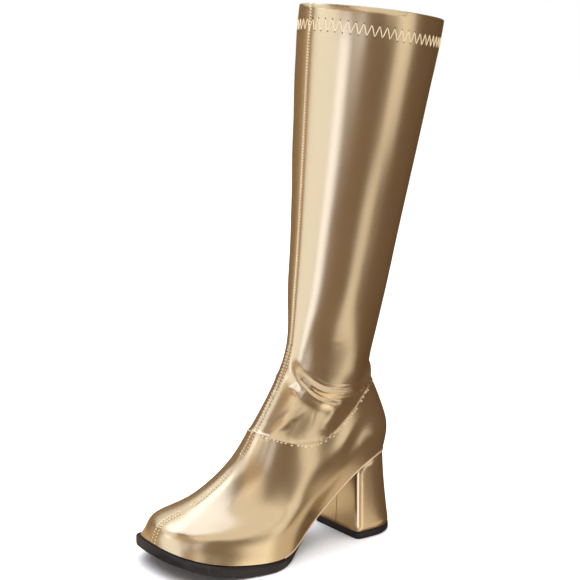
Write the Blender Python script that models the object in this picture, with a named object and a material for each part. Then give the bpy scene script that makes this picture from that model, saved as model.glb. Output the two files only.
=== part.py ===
"""Left go go boot: a knee-high stretch boot on a flared block heel, with an inner side zip.

Frame: +Z up, toe towards -Y, the boot's outer (lateral) side towards +X.
The origin is on the floor, at the centre of the heel tip's ground face.
"""

import math

import bmesh
import bpy
from mathutils import Vector

MM = 0.001

# Foot of the boot
FOOT_LENGTH = 224.0 * MM
BALL_WIDTH = 87.0 * MM
HEEL_HEIGHT = 70.5 * MM
SOLE_THICKNESS = 8.2 * MM
TOE_SPRING = 14.6 * MM
INSTEP_RISE = 150.0 * MM
COUNTER_RISE = 62.0 * MM
BALL_OUT = 3.1 * MM
SEAT_BACK = 18.5 * MM

# Shaft of the boot
BOOT_HEIGHT = 446.8 * MM
ANKLE_HEIGHT = 184.0 * MM
COLLAR_WIDTH = 112.6 * MM
COLLAR_DEPTH = 131.0 * MM
COLLAR_FRONT = -64.0 * MM

# Stretches of the foot's plan and profile, as shares from the back to the front
SEAT_TO_WAIST = (0.10, 0.40)
WAIST_TO_BALL = (0.38, 0.66)
BALL_SWING = (0.25, 0.65)
TOE_SWING = (0.55, 1.00)
WAIST_SLOPE = (0.06, 0.58)
WAIST_THINNING = (0.32, 0.52)
SPRING_START = 0.64
SAG_FORWARD = 1.3

# Walls and fits
SHAFT_WALL = 1.4 * MM
FOOT_WALL = 2.0 * MM
PANEL_STEP = 0.7 * MM
HEM_HEIGHT = 20.0 * MM
HEM_FOLD = 0.7 * MM
FIT = 0.3 * MM
UPPER_LIFT = 0.5 * MM

# Sole, insole and heel
SOLE_EDGE = 2.9 * MM
WAIST_TUCK = 3.0 * MM
WAIST_THICKNESS = 3.0 * MM
SOLE_BEVEL = 1.0 * MM
INSOLE_THICKNESS = 2.5 * MM
INSOLE_GAP = 1.5 * MM
HEEL_TIP_WIDTH = 62.0 * MM
HEEL_TIP_LENGTH = 50.0 * MM
HEEL_TOP_WIDTH = 54.6 * MM
HEEL_BACK_FLARE = 7.5 * MM
HEEL_BREAST_FLARE = 1.2 * MM
HEEL_CORNER = 5.0 * MM
TIP_THICKNESS = 6.0 * MM
HEEL_TOP_CAP = 29.5 * MM
HEEL_CURVE = 1.4
BREAST_Y = HEEL_BREAST_FLARE - HEEL_TIP_LENGTH / 2

# Zip on the inner side
ZIP_SLOT = 8.0 * MM
ZIP_BOTTOM = 62.0 * MM
ZIP_FOOT_Y = -52.0 * MM
ZIP_COLLAR_Y = -2.0 * MM
TAPE_THICKNESS = 0.8 * MM
TAPE_END = 0.92
COIL_WIDTH = 5.2 * MM
COIL_SINK = 0.2 * MM
COIL_END = 0.75
SLIDER_DROP = 29.0 * MM
SLIDER_WIDTH = 8.6 * MM
SLIDER_LENGTH = 12.0 * MM
SLIDER_THICKNESS = 1.4 * MM
SLIDER_GAP = 0.5 * MM
SLIDER_CHAMFER = 2.2 * MM
BAR_RISE = 2.3 * MM
BAR_RADIUS = 0.7 * MM
EAR_GAP = 3.6 * MM
EAR_WIDTH = 1.0 * MM
EAR_LENGTH = 3.0 * MM
EAR_OVER = 1.1 * MM
EYE_RADIUS = 1.9 * MM
EYE_WIDTH = 3.0 * MM
PULL_INSET = 0.1 * MM
PULL_NECK = 3.4 * MM
PULL_SHOULDER = 7.0 * MM
PULL_LENGTH = 23.0 * MM
PULL_WIDTH = 6.0 * MM
PULL_THICKNESS = 1.0 * MM

# Mesh density
SIDE_COLUMNS = 28
ZIP_COLUMN = 15
RING_STEP = 13.0 * MM
OUTLINE_SAMPLES = 400
FOOT_STATIONS = 36
LAST_STATION = 0.999
HEEL_STEPS = 5
CORNER_STEPS = 4
BACK_STEPS = 9
ROUND_STEPS = 24
SHARP_ANGLE = math.radians(40)
ROUNDING = 1e-12

# Plain finishes: colour, roughness, metallic
GOLD = ((0.52, 0.38, 0.20), 0.32, 0.75)
BLACK = ((0.018, 0.016, 0.015), 0.55, 0.0)
SOCK = ((0.55, 0.45, 0.33), 0.85, 0.0)
TAPE = ((0.42, 0.32, 0.19), 0.85, 0.0)
NYLON = ((0.42, 0.32, 0.19), 0.5, 0.0)
METAL = ((0.60, 0.47, 0.27), 0.3, 1.0)

# Girth rings of the foot, from the feather line up to the throat.
# front, back: ends of the ring, as shares of FOOT_LENGTH measured forward from the seat's back.
# rise_front, rise_back: heights above the feather line, as shares of INSTEP_RISE and COUNTER_RISE.
# heel, waist, ball: half widths as shares of BALL_WIDTH.
# cap_back, cap_front: lengths of the rounded ends as shares of the ring's length.
# square: power of the front end, 2 is elliptical and more is squarer.
# follow: how far the ring keeps the dip of the sole's own profile.
# sag: dip between the ends as a share of COUNTER_RISE.
# toe_in: inward shift of the front end as a share of BALL_WIDTH.
FOOT_RINGS = (
    ("name", "front", "back", "rise_front", "rise_back", "heel", "waist", "ball",
     "cap_back", "cap_front", "square", "follow", "sag", "toe_in"),
    ("feather", 1.000, 0.000, 0.000, 0.000, 0.315, 0.302, 0.531, 0.155, 0.198, 2.67, 1.00, 0.000, 0.109),
    ("wall", 0.995, -0.018, 0.069, 0.247, 0.330, 0.328, 0.511, 0.170, 0.316, 2.60, 0.96, 0.000, 0.094),
    ("toe_top", 0.971, -0.015, 0.128, 0.409, 0.349, 0.365, 0.505, 0.190, 0.268, 2.67, 0.86, 0.000, 0.098),
    ("vamp", 0.843, 0.008, 0.237, 0.656, 0.314, 0.370, 0.429, 0.220, 0.391, 2.35, 0.62, 0.027, 0.081),
    ("instep", 0.680, 0.035, 0.446, 0.868, 0.285, 0.359, 0.387, 0.260, 0.400, 2.27, 0.50, 0.058, 0.018),
    ("quarter", 0.607, 0.059, 0.643, 1.039, 0.287, 0.318, 0.337, 0.320, 0.396, 2.17, 0.268, 0.199, -0.030),
    ("fold", 0.504, 0.067, 0.825, 1.320, 0.262, 0.345, 0.328, 0.400, 0.493, 2.10, 0.20, 0.118, 0.000),
    ("throat", 0.444, 0.038, 1.000, 1.780, 0.288, 0.335, 0.298, 0.460, 0.564, 2.00, 0.00, 0.020, 0.000),
)

# Level rings of the shaft, from above the throat up to the collar.
# level: height as a share of the stretch from ANKLE_HEIGHT to BOOT_HEIGHT.
# front, back: how far the ring's ends lie from COLLAR_FRONT, as shares of COLLAR_DEPTH.
# half_width: share of COLLAR_WIDTH.
# drop: how much lower the ring's back lies than its front, as a share of COLLAR_DEPTH.
SHAFT_RINGS = (
    ("name", "level", "front", "back", "half_width", "drop"),
    ("low_shaft", 0.10, -0.088, 0.598, 0.298, 0.000),
    ("lower_calf", 0.30, -0.062, 0.678, 0.344, 0.010),
    ("mid_calf", 0.53, -0.045, 0.771, 0.408, 0.020),
    ("calf", 0.76, -0.028, 0.867, 0.457, 0.039),
    ("upper_calf", 0.92, -0.014, 0.937, 0.484, 0.060),
    ("collar", 1.00, 0.001, 0.965, 0.478, 0.100),
)


def table_rows(table):
    """Each row of a table as a dictionary that is keyed by the table's first row."""
    head = table[0]
    return [dict(zip(head, row)) for row in table[1:]]


def smooth(x):
    """Smooth step from 0 to 1."""
    x = min(1.0, max(0.0, x))
    return x * x * (3.0 - 2.0 * x)


def ramp(span, share):
    """Smooth step from 0 to 1 across a span of shares."""
    start, end = span
    return smooth((share - start) / (end - start))


def mix(a, b, t):
    """The value at a share t of the way from a to b."""
    return a + (b - a) * t


def foot_y(share):
    """Y of a share of the foot's length, measured forward from the seat's back."""
    return SEAT_BACK - share * FOOT_LENGTH


def feather_height(y):
    """Height of the feather line, where the upper meets the sole, at a place along the foot."""
    share = (SEAT_BACK - y) / FOOT_LENGTH
    spring = max(0.0, (share - SPRING_START) / (1.0 - SPRING_START)) ** 2
    return mix(HEEL_HEIGHT, SOLE_THICKNESS, ramp(WAIST_SLOPE, share)) + TOE_SPRING * spring


def half_outline(row, share):
    """Half width of a foot ring at a share of its own length from the back."""
    heel, waist, ball = row["heel"], row["waist"], row["ball"]
    width = mix(mix(heel, waist, ramp(SEAT_TO_WAIST, share)), ball, ramp(WAIST_TO_BALL, share))
    back = min(1.0, share / row["cap_back"])
    front = min(1.0, (1.0 - share) / row["cap_front"])
    round_back = math.sqrt(max(0.0, 1.0 - (1.0 - back) ** 2))
    square = row["square"]
    round_front = max(0.0, 1.0 - (1.0 - front) ** square) ** (1.0 / square)
    return width * BALL_WIDTH * round_back * round_front


def foot_ring_point(row, side, share):
    """A point of a foot ring: side is +1 outside and -1 inside, share runs from the back to the front."""
    y_back, y_front = foot_y(row["back"]), foot_y(row["front"])
    y = mix(y_back, y_front, share)
    z_back = HEEL_HEIGHT + row["rise_back"] * COUNTER_RISE
    z_front = feather_height(y_front) + row["rise_front"] * INSTEP_RISE
    sole_chord = mix(HEEL_HEIGHT, feather_height(foot_y(1.0)), share)
    dip = feather_height(foot_y(share)) - sole_chord
    sag = row["sag"] * COUNTER_RISE * math.sin(math.pi * share ** SAG_FORWARD)
    z = mix(z_back, z_front, share) + row["follow"] * dip - sag
    toe_in = row["toe_in"] * BALL_WIDTH * ramp(TOE_SWING, share)
    shift = BALL_OUT * ramp(BALL_SWING, share) - toe_in
    return Vector((shift + side * half_outline(row, share), y, z))


def shaft_ring_point(row, side, share):
    """A point of a shaft ring, an oval in plan."""
    z = mix(ANKLE_HEIGHT, BOOT_HEIGHT, row["level"])
    y_front = COLLAR_FRONT + row["front"] * COLLAR_DEPTH
    y_back = COLLAR_FRONT + row["back"] * COLLAR_DEPTH
    across = 2.0 * share - 1.0
    x = side * row["half_width"] * COLLAR_WIDTH * math.sqrt(max(0.0, 1.0 - across * across))
    y = mix(y_back, y_front, share)
    return Vector((x, y, z - row["drop"] * COLLAR_DEPTH * (1.0 - share)))


def spaced_half(point_at, row, side):
    """Fine points of one half of a ring, from the back centre to the front centre, and their arc lengths."""
    points = []
    for i in range(OUTLINE_SAMPLES + 1):
        share = 0.5 - 0.5 * math.cos(math.pi * i / OUTLINE_SAMPLES)
        points.append(point_at(row, side, share))
    lengths = [0.0]
    for a, b in zip(points, points[1:]):
        lengths.append(lengths[-1] + (b - a).length)
    return points, lengths


def point_along(points, lengths, wanted):
    """The point at a length along a polyline."""
    for i in range(1, len(points)):
        if lengths[i] >= wanted:
            stretch = max(lengths[i] - lengths[i - 1], ROUNDING)
            return points[i - 1].lerp(points[i], (wanted - lengths[i - 1]) / stretch)
    return points[-1].copy()


def zip_line_y(z):
    """Y of the zip's middle at a height: a straight line down the inner side."""
    return mix(ZIP_FOOT_Y, ZIP_COLLAR_Y, (z - ZIP_BOTTOM) / (BOOT_HEIGHT - ZIP_BOTTOM))


def ring_columns(point_at, row):
    """A ring's points, column by column: back centre, outer side, front centre, inner side with the zip."""
    points, lengths = spaced_half(point_at, row, 1)
    outer = [point_along(points, lengths, lengths[-1] * i / SIDE_COLUMNS) for i in range(SIDE_COLUMNS + 1)]
    points, lengths = spaced_half(point_at, row, -1)
    middle = next(s for p, s in zip(points, lengths) if p.y < zip_line_y(p.z))
    zip_back, zip_front = middle - ZIP_SLOT / 2, middle + ZIP_SLOT / 2
    inner = []
    for i in range(1, ZIP_COLUMN + 1):
        inner.append(point_along(points, lengths, mix(lengths[-1], zip_front, i / ZIP_COLUMN)))
    behind = SIDE_COLUMNS - ZIP_COLUMN - 1
    for i in range(behind):
        inner.append(point_along(points, lengths, mix(zip_back, 0.0, i / behind)))
    return outer + inner


def slopes(values, places):
    """Slope at each of a run of points, for a smooth curve through them."""
    last = len(values) - 1
    found = []
    for k in range(last + 1):
        before, after = max(0, k - 1), min(last, k + 1)
        found.append((values[after] - values[before]) / (places[after] - places[before]))
    return found


def curve_through(values, places, wanted):
    """Points of a smooth curve through the values, at the wanted places."""
    slope = slopes(values, places)
    found = []
    for place in wanted:
        k = max(i for i in range(len(places) - 1) if places[i] <= place + ROUNDING)
        gap = places[k + 1] - places[k]
        t = (place - places[k]) / gap
        found.append(values[k] * (1 + 2 * t) * (1 - t) ** 2 + slope[k] * gap * t * (1 - t) ** 2
                     + values[k + 1] * t * t * (3 - 2 * t) + slope[k + 1] * gap * t * t * (t - 1))
    return found


def skin_rings():
    """The boot's skin as rings of points up to the collar, and the index of the quarter ring."""
    foot, shaft = table_rows(FOOT_RINGS), table_rows(SHAFT_RINGS)
    key_rings = [ring_columns(foot_ring_point, row) for row in foot]
    key_rings += [ring_columns(shaft_ring_point, row) for row in shaft]
    columns = len(key_rings[0])
    places = [0.0]
    for low, high in zip(key_rings, key_rings[1:]):
        places.append(places[-1] + sum((b - a).length for a, b in zip(low, high)) / columns)
    wanted = []
    quarter = [row["name"] for row in foot].index("quarter")
    for k in range(len(places) - 1):
        if k == quarter:
            quarter_ring = len(wanted)
        steps = max(1, round((places[k + 1] - places[k]) / RING_STEP))
        wanted += [mix(places[k], places[k + 1], i / steps) for i in range(steps)]
    wanted.append(places[-1])
    by_column = [curve_through([ring[c] for ring in key_rings], places, wanted) for c in range(columns)]
    return [[by_column[c][r] for c in range(columns)] for r in range(len(wanted))], quarter_ring


def ring_normals(rings):
    """Outward normals of the skin at each point."""
    count, top = len(rings[0]), len(rings) - 1
    normals = []
    for r, ring in enumerate(rings):
        row = []
        for c in range(count):
            along = ring[(c + 1) % count] - ring[c - 1]
            up = rings[min(top, r + 1)][c] - rings[max(0, r - 1)][c]
            row.append(up.cross(along).normalized())
        normals.append(row)
    return normals


def make_material(name, finish):
    """A plain Principled material."""
    colour, roughness, metallic = finish
    material = bpy.data.materials.new(name)
    material.use_nodes = True
    shader = material.node_tree.nodes["Principled BSDF"]
    shader.inputs["Base Color"].default_value = (*colour, 1.0)
    shader.inputs["Roughness"].default_value = roughness
    shader.inputs["Metallic"].default_value = metallic
    material.diffuse_color = (*colour, 1.0)
    return material


def add_object(name, bm, material):
    """Makes the named object of a finished bmesh, smooth where its faces meet softly."""
    bmesh.ops.recalc_face_normals(bm, faces=bm.faces)
    mesh = bpy.data.meshes.new(name)
    bm.to_mesh(mesh)
    bm.free()
    mesh.shade_smooth()
    mesh.set_sharp_from_angle(angle=SHARP_ANGLE)
    mesh.materials.append(material)
    obj = bpy.data.objects.new(name, mesh)
    bpy.context.scene.collection.objects.link(obj)
    return obj


def cap_faces(loop, mirrored):
    """Corner lists of an end cap: one face, or strips between the two mirrored halves of a loop."""
    if not mirrored:
        return [loop]
    half = len(loop) // 2
    strips = [[loop[i], loop[i + 1], loop[-2 - i], loop[-1 - i]] for i in range(half - 1)]
    return strips + [loop[half - 1:half + 2]]


def lofted(sections, mirrored=False):
    """A closed solid through sections of equal point counts, capped at both ends."""
    bm = bmesh.new()
    loops = [[bm.verts.new(p) for p in section] for section in sections]
    count = len(loops[0])
    for low, high in zip(loops, loops[1:]):
        for i in range(count):
            n = (i + 1) % count
            bm.faces.new((low[i], low[n], high[n], high[i]))
    for corners in cap_faces(loops[0], mirrored):
        bm.faces.new(list(reversed(corners)))
    for corners in cap_faces(loops[-1], mirrored):
        bm.faces.new(corners)
    return bm


def walled_sheet(outer, inner, is_open):
    """A closed wall between two grids of rings, with a rim round every cell that is left open."""
    bm = bmesh.new()
    outside = [[bm.verts.new(p) for p in ring] for ring in outer]
    inside = [[bm.verts.new(p) for p in ring] for ring in inner]
    columns = len(outer[0])
    rims = set()
    for r in range(len(outer) - 1):
        for c in range(columns):
            if is_open(r, c):
                continue
            n = (c + 1) % columns
            corners = ((r, c), (r, n), (r + 1, n), (r + 1, c))
            bm.faces.new([outside[i][j] for i, j in corners])
            bm.faces.new([inside[i][j] for i, j in reversed(corners)])
            for a, b in zip(corners, corners[1:] + corners[:1]):
                if (b, a) in rims:
                    rims.remove((b, a))
                else:
                    rims.add((a, b))
    for (i, j), (k, m) in sorted(rims):
        bm.faces.new((outside[k][m], outside[i][j], inside[i][j], inside[k][m]))
    return bm


def rises(rings, r):
    """Directions from a ring's points to the next ring's."""
    return [(b - a).normalized() for a, b in zip(rings[r], rings[r + 1])]


def wall_at(rings, r, quarter_ring):
    """Thickness of the upper at a ring: lined foot, stretch shaft or turned hem."""
    if r <= quarter_ring:
        return FOOT_WALL
    in_hem = rings[r][0].z > rings[-1][0].z - HEM_HEIGHT
    return SHAFT_WALL + (HEM_FOLD if in_hem else 0.0)


def make_upper(rings, normals, quarter_ring, material):
    """The upper: foot panel, stretch shaft and hem as steps of one wall, with the zip's slot."""
    outer, inner = [], []
    for r, (ring, row) in enumerate(zip(rings, normals)):
        step = PANEL_STEP if r <= quarter_ring else 0.0
        wall = wall_at(rings, r, quarter_ring)
        outer.append([p + n * step for p, n in zip(ring, row)])
        inner.append([p - n * wall for p, n in zip(ring, row)])
        if r == quarter_ring:
            # The shaft leaves from under the foot panel's top edge.
            rise = rises(rings, r)
            outer.append([p + u * PANEL_STEP for p, u in zip(ring, rise)])
            inner.append([p - n * SHAFT_WALL + u * PANEL_STEP for p, n, u in zip(ring, row, rise)])
    for p in outer[0] + inner[0]:
        p.z = feather_height(p.y) + UPPER_LIFT
    slot = SIDE_COLUMNS + ZIP_COLUMN
    foot_of_slot = next(r for r, ring in enumerate(outer) if ring[slot].z > ZIP_BOTTOM)
    bm = walled_sheet(outer, inner, lambda r, c: c == slot and r >= foot_of_slot)
    return add_object("upper", bm, material)


def feather_row(**changes):
    """The feather ring's row, with some of its shares changed by amounts."""
    row = dict(table_rows(FOOT_RINGS)[0])
    for key, amount in changes.items():
        row[key] += amount
    return row


def stations(row):
    """Places along the foot, shared by insole and outsole, between a row's own ends."""
    y_back = mix(foot_y(row["back"]), foot_y(row["front"]), 1.0 - LAST_STATION)
    y_front = mix(foot_y(row["back"]), foot_y(row["front"]), LAST_STATION)
    places = [foot_y(0.5 - 0.5 * math.cos(math.pi * i / FOOT_STATIONS)) for i in range(FOOT_STATIONS + 1)]
    return [y_back] + [y for y in places if y_front < y < y_back] + [y_front]


def side_to_side(row, y):
    """Inner and outer edge of a foot ring's plan at a place along the foot."""
    y_back, y_front = foot_y(row["back"]), foot_y(row["front"])
    # A place at the very end of the ring may be rounded to just past it.
    share = min(1.0, max(0.0, (y_back - y) / (y_back - y_front)))
    return [foot_ring_point(row, side, share).x for side in (-1, 1)]


def make_outsole(material):
    """The outsole: full width with a ledge at the forefoot, tucked and thin at the waist."""
    edge = SOLE_EDGE / BALL_WIDTH
    tuck = WAIST_TUCK / BALL_WIDTH
    row = feather_row(front=SOLE_EDGE / FOOT_LENGTH, ball=edge, waist=-tuck, heel=-tuck)
    breast = BREAST_Y - FIT
    sections = []
    for y in [breast] + [y for y in stations(row) if y < breast]:
        top = feather_height(y)
        share = (SEAT_BACK - y) / FOOT_LENGTH
        low = top - mix(WAIST_THICKNESS, SOLE_THICKNESS, ramp(WAIST_THINNING, share))
        left, right = side_to_side(row, y)
        sections.append([Vector((x, y, z)) for x, z in (
            (left, top), (right, top), (right, low + SOLE_BEVEL), (right - SOLE_BEVEL, low),
            (left + SOLE_BEVEL, low), (left, low + SOLE_BEVEL))])
    return add_object("outsole", lofted(sections), material)


def make_insole(material):
    """The insole, which closes the upper inside, a fit away from its wall."""
    inset = (FOOT_WALL + INSOLE_GAP) / BALL_WIDTH
    trim = (FOOT_WALL + INSOLE_GAP) / FOOT_LENGTH
    row = feather_row(front=-trim, back=trim, heel=-inset, waist=-inset, ball=-inset)
    sections = []
    for y in stations(row):
        low = feather_height(y) + FIT
        high = low + INSOLE_THICKNESS
        left, right = side_to_side(row, y)
        corners = ((left, low), (right, low), (right, high), (left, high))
        sections.append([Vector((x, y, z)) for x, z in corners])
    return add_object("insole", lofted(sections), material)


def heel_outline(half_width, y_back, y_front, cap):
    """Plan outline of the heel: flat breast, rounded front corners and a round back."""
    half = []
    for i in range(CORNER_STEPS, -1, -1):
        turn = math.pi / 2 * i / CORNER_STEPS
        x = half_width - HEEL_CORNER * (1 - math.cos(turn))
        half.append((x, y_front + HEEL_CORNER * (1 - math.sin(turn))))
    for i in range(BACK_STEPS):
        turn = math.pi / 2 * i / BACK_STEPS
        half.append((half_width * math.cos(turn), y_back - cap * (1 - math.sin(turn))))
    return half + [(0.0, y_back)] + [(-x, y) for x, y in reversed(half)]


def heel_section(flare, level):
    """The heel's outline at a share of its flare, from 0 at the seat to 1 at the floor."""
    half_width = mix(HEEL_TOP_WIDTH, HEEL_TIP_WIDTH, flare) / 2
    y_back = mix(HEEL_TIP_LENGTH / 2 - HEEL_BACK_FLARE, HEEL_TIP_LENGTH / 2, flare)
    y_front = mix(BREAST_Y, BREAST_Y - HEEL_BREAST_FLARE, flare)
    cap = mix(HEEL_TOP_CAP, HEEL_TIP_WIDTH / 2, flare)
    return [Vector((x, y, level(y))) for x, y in heel_outline(half_width, y_back, y_front, cap)]


def make_heel_block(material):
    """The covered block: its top follows the seat and its foot is level."""
    foot = TIP_THICKNESS + FIT
    sections = []
    for i in range(HEEL_STEPS + 1):
        share = i / HEEL_STEPS
        sections.append(heel_section(share ** HEEL_CURVE, lambda y: mix(feather_height(y), foot, share)))
    return add_object("heel_block", lofted(sections, mirrored=True), material)


def make_heel_tip(material):
    """The tip under the block, with its ground face on the floor."""
    sections = [heel_section(1.0, lambda y: TIP_THICKNESS), heel_section(1.0, lambda y: 0.0)]
    return add_object("heel_tip", lofted(sections, mirrored=True), material)


def make_zip_tape(rings, normals, quarter_ring, material):
    """The tapes, one sheet behind the slot and a fit away from the upper's inside."""
    slot = SIDE_COLUMNS + ZIP_COLUMN
    first = next(r for r, ring in enumerate(rings) if ring[slot].z > ZIP_BOTTOM) - 1
    sections = []
    for r in range(first, len(rings)):
        depth = wall_at(rings, r, quarter_ring) + FIT
        ring, row = rings[r], normals[r]
        if r == len(rings) - 1:
            ring = [a.lerp(b, TAPE_END) for a, b in zip(rings[r - 1], ring)]
        columns = range(slot - 1, slot + 3)
        near = [ring[c] - row[c] * depth for c in columns]
        far = [ring[c] - row[c] * (depth + TAPE_THICKNESS) for c in columns]
        sections.append(near + far[::-1])
    return add_object("zip_tape", lofted(sections), material)


def slot_frame(rings, normals, r):
    """Middle of the zip at a ring, with the directions across the zip and out of the skin."""
    slot = SIDE_COLUMNS + ZIP_COLUMN
    a, b = rings[r][slot], rings[r][slot + 1]
    return (a + b) / 2, (b - a).normalized(), (normals[r][slot] + normals[r][slot + 1]).normalized()


def make_zip_coil(rings, normals, quarter_ring, material):
    """The closed coil, a strip that fills the slot just under the skin."""
    slot = SIDE_COLUMNS + ZIP_COLUMN
    first = next(r for r, ring in enumerate(rings) if ring[slot].z > ZIP_BOTTOM) + 1
    sections = []
    for r in range(first, len(rings)):
        middle, across, out = slot_frame(rings, normals, r)
        if r == len(rings) - 1:
            middle = slot_frame(rings, normals, r - 1)[0].lerp(middle, COIL_END)
        half = across * COIL_WIDTH / 2
        top = middle - out * COIL_SINK
        low = middle - out * (wall_at(rings, r, quarter_ring) - COIL_SINK)
        sections.append([top - half, top + half, low + half, low - half])
    return add_object("zip_coil", lofted(sections), material)


def box(centre, axes, sizes):
    """A box of three sizes along three directions."""
    corners = []
    for k in (-0.5, 0.5):
        for i, j in ((-0.5, -0.5), (0.5, -0.5), (0.5, 0.5), (-0.5, 0.5)):
            shares = (i, j, k)
            corners.append(centre + sum((a * s * t for a, s, t in zip(axes, sizes, shares)), Vector()))
    return lofted([corners[:4], corners[4:]])


def plate(centre, axes, outline, thickness):
    """A flat plate: an outline in the first two directions, its thickness along the third."""
    first, second, third = axes
    sections = []
    for side in (-0.5, 0.5):
        sections.append([centre + first * x + second * y + third * thickness * side for x, y in outline])
    return lofted(sections)


def disc_outline(radius):
    """Points round a circle."""
    turns = [2 * math.pi * i / ROUND_STEPS for i in range(ROUND_STEPS)]
    return [(radius * math.cos(t), radius * math.sin(t)) for t in turns]


def merge_into(obj, operation, bm, name):
    """Joins or cuts a shape with an object by an exact Boolean, and hides the shape."""
    tool = add_object(name, bm, obj.data.materials[0])
    tool.hide_render = True
    tool.display_type = "WIRE"
    modifier = obj.modifiers.new(name, "BOOLEAN")
    modifier.operation = operation
    modifier.solver = "EXACT"
    modifier.object = tool


def make_slider_and_pull(rings, normals, slider_material, pull_material):
    """The slider over the coil, with two ears and a bar, and the pull tab that hangs from the bar."""
    level = rings[-1][SIDE_COLUMNS + ZIP_COLUMN].z - SLIDER_DROP
    r = max(i for i in range(len(rings)) if slot_frame(rings, normals, i)[0].z < level)
    low, across, out = slot_frame(rings, normals, r)
    high = slot_frame(rings, normals, r + 1)[0]
    middle = low.lerp(high, (level - low.z) / (high.z - low.z))
    along = out.cross(across).normalized()
    across = Vector((across.x, across.y, 0.0)).normalized()
    axes = (across, along, out)
    plate_middle = middle + out * (SLIDER_GAP + SLIDER_THICKNESS / 2)
    w, h, c = SLIDER_WIDTH / 2, SLIDER_LENGTH / 2, SLIDER_CHAMFER
    right = [(w - c, -h), (w, -h + c), (w, h - c), (w - c, h)]
    outline = right + [(-x, y) for x, y in reversed(right)]
    slider = add_object("zip_slider", plate(plate_middle, axes, outline, SLIDER_THICKNESS), slider_material)
    bar = middle + out * (SLIDER_GAP + SLIDER_THICKNESS + BAR_RISE)
    ear_height = BAR_RISE + EAR_OVER + SLIDER_THICKNESS / 2
    for side, name in ((-1, "ear_front"), (1, "ear_back")):
        centre = bar + across * side * (EAR_GAP + EAR_WIDTH) / 2 + out * (EAR_OVER - ear_height / 2)
        merge_into(slider, "UNION", box(centre, axes, (EAR_WIDTH, EAR_LENGTH, ear_height)), name)
    round_axes = (Vector((0.0, 0.0, 1.0)), across.cross(Vector((0.0, 0.0, 1.0))), across)
    merge_into(slider, "UNION", plate(bar, round_axes, disc_outline(BAR_RADIUS), EAR_GAP + EAR_WIDTH), "bar")
    # The pull is built round its own origin, on the bar's axis, and hangs straight down.
    centre = Vector()
    eye = plate(centre, round_axes, disc_outline(EYE_RADIUS), EYE_WIDTH)
    pull = add_object("zip_pull", eye, pull_material)
    down = Vector((0.0, 0.0, -1.0))
    tab_axes = (across, down, across.cross(down))
    neck, half = EYE_WIDTH / 2 - PULL_INSET, PULL_WIDTH / 2
    root = (EYE_RADIUS + BAR_RADIUS + FIT) / 2
    tab = [(-neck, root), (neck, root), (neck, PULL_NECK), (half, PULL_SHOULDER)]
    for i in range(ROUND_STEPS // 2 + 1):
        turn = 2 * math.pi * i / ROUND_STEPS
        tab.append((half * math.cos(turn), PULL_LENGTH - half + half * math.sin(turn)))
    tab.append((-half, PULL_SHOULDER))
    tab.append((-neck, PULL_NECK))
    merge_into(pull, "UNION", plate(centre, tab_axes, tab, PULL_THICKNESS), "tab")
    hole = plate(centre, round_axes, disc_outline(BAR_RADIUS + FIT), EYE_WIDTH * 2)
    merge_into(pull, "DIFFERENCE", hole, "eye_hole")
    for obj in [pull] + [modifier.object for modifier in pull.modifiers]:
        obj.location = bar


def build():
    """Builds every piece of the boot."""
    for obj in list(bpy.data.objects):
        bpy.data.objects.remove(obj)
    rings, quarter_ring = skin_rings()
    normals = ring_normals(rings)
    make_upper(rings, normals, quarter_ring, make_material("gold_leather", GOLD))
    make_insole(make_material("insole_sock", SOCK))
    make_outsole(make_material("black_sole", BLACK))
    make_heel_block(make_material("gold_heel_cover", GOLD))
    make_heel_tip(make_material("black_tip", BLACK))
    make_zip_tape(rings, normals, quarter_ring, make_material("zip_cloth", TAPE))
    make_zip_coil(rings, normals, quarter_ring, make_material("zip_coil_plastic", NYLON))
    slider_metal, pull_metal = make_material("slider_metal", METAL), make_material("pull_metal", METAL)
    make_slider_and_pull(rings, normals, slider_metal, pull_metal)


build()
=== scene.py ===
"""Looks of a left go go boot in smooth gold stretch leather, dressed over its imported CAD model.

Frame: +Z up, toe towards -Y, outer side towards +X, floor at z = 0.
Tables and named sizes of the boot are in millimetres, and are multiplied by MM where they are used.
The rest is in metres.
"""

import math

import bmesh
import bpy
import numpy as np
from mathutils import Matrix, Vector
from mathutils.bvhtree import BVHTree


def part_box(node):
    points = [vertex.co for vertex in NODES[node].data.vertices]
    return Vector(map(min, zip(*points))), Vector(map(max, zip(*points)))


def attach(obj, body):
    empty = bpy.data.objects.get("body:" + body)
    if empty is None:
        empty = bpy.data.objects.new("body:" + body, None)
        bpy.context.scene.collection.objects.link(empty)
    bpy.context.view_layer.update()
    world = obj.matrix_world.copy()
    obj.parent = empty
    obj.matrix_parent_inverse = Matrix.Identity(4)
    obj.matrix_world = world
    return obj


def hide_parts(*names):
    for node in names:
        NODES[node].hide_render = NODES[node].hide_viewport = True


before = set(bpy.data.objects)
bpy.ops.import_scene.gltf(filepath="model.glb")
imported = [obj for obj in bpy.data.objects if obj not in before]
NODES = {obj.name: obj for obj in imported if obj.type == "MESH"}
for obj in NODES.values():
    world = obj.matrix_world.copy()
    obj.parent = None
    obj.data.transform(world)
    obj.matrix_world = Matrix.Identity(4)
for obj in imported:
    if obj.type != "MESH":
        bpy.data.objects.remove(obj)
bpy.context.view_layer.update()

MM = 0.001
MERGE_DISTANCE = 0.01 * MM

# ---------------------------------------------------------------- places and sizes, in millimetres

# The front centre seam, from the collar down to the toe.
FRONT_LINE = (
    (0.0, -64.3, 446.6), (0.0, -66.9, 402.0), (0.2, -69.6, 330.0), (0.0, -72.8, 249.0), (0.5, -75.7, 208.0),
    (2.3, -79.6, 176.0), (3.1, -81.5, 168.8), (3.1, -94.4, 135.6), (5.7, -117.5, 104.6), (1.5, -133.8, 75.3),
    (-3.9, -170.3, 48.4), (-5.4, -199.0, 39.7), (-5.1, -204.4, 32.7), (-6.0, -205.8, 25.5))
SHAFT_SEAM_END = 172.0
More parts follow.
